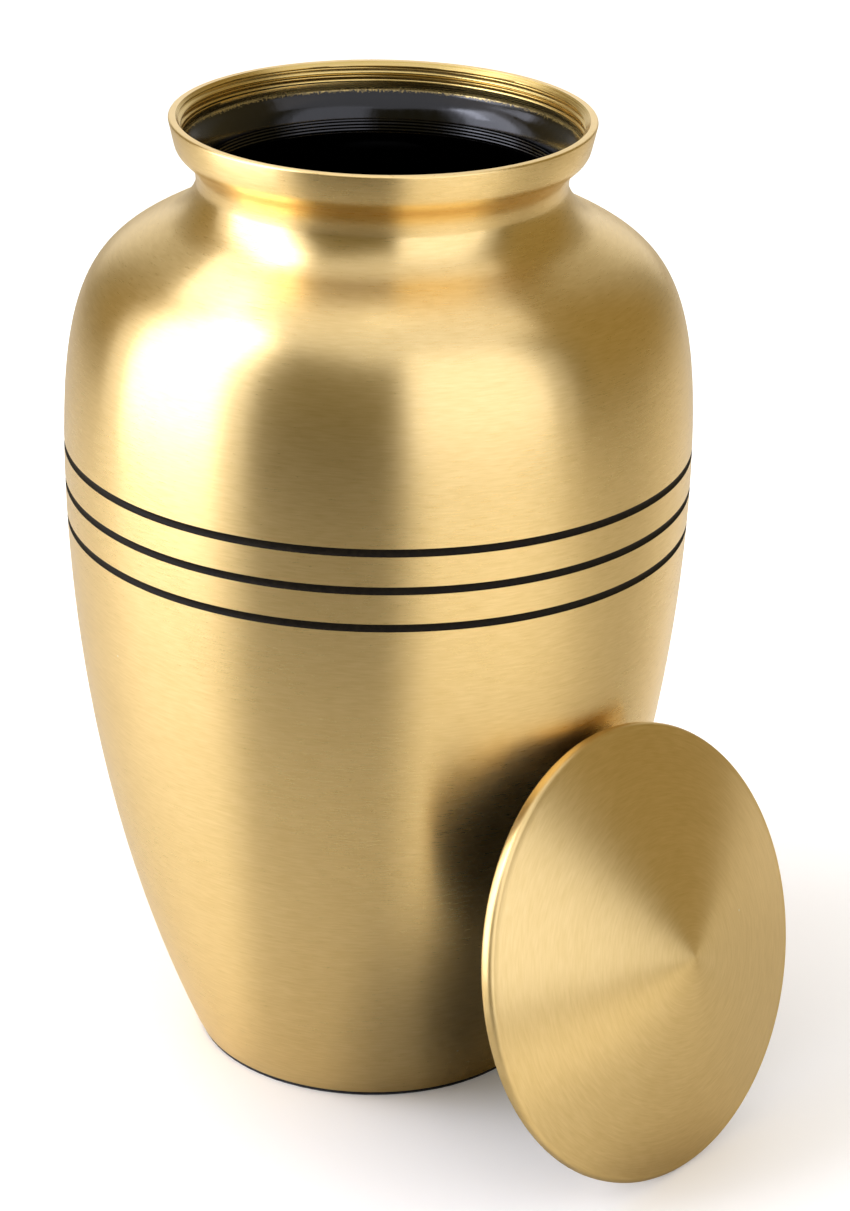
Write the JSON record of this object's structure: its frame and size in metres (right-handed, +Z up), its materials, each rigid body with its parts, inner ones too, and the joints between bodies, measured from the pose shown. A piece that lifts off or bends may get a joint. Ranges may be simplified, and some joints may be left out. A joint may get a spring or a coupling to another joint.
{
  "type": "cremation urn",
  "caption": "Satin brass cremation urn, open, with a screw lid leaning against it, engraved belly lines and a felt foot pad.",
  "frame": {"origin": "centre of the felt pad's underside, on the surface that the urn stands on", "axes": "+Z up along the body's axis; the lid leans against the body on the +X side, its outer face turned to +X"},
  "size_m": [0.1903, 0.156, 0.245],
  "materials": {
    "brass": "satin, turned, black-filled lines and black lacquer inside",
    "lid_brass": "satin, turned",
    "felt": "matt felt"
  },
  "bodies": {
    "root": {"urn_body": "brass", "lid": "lid_brass", "felt_base_pad": "felt"}
  },
  "joints": []
}
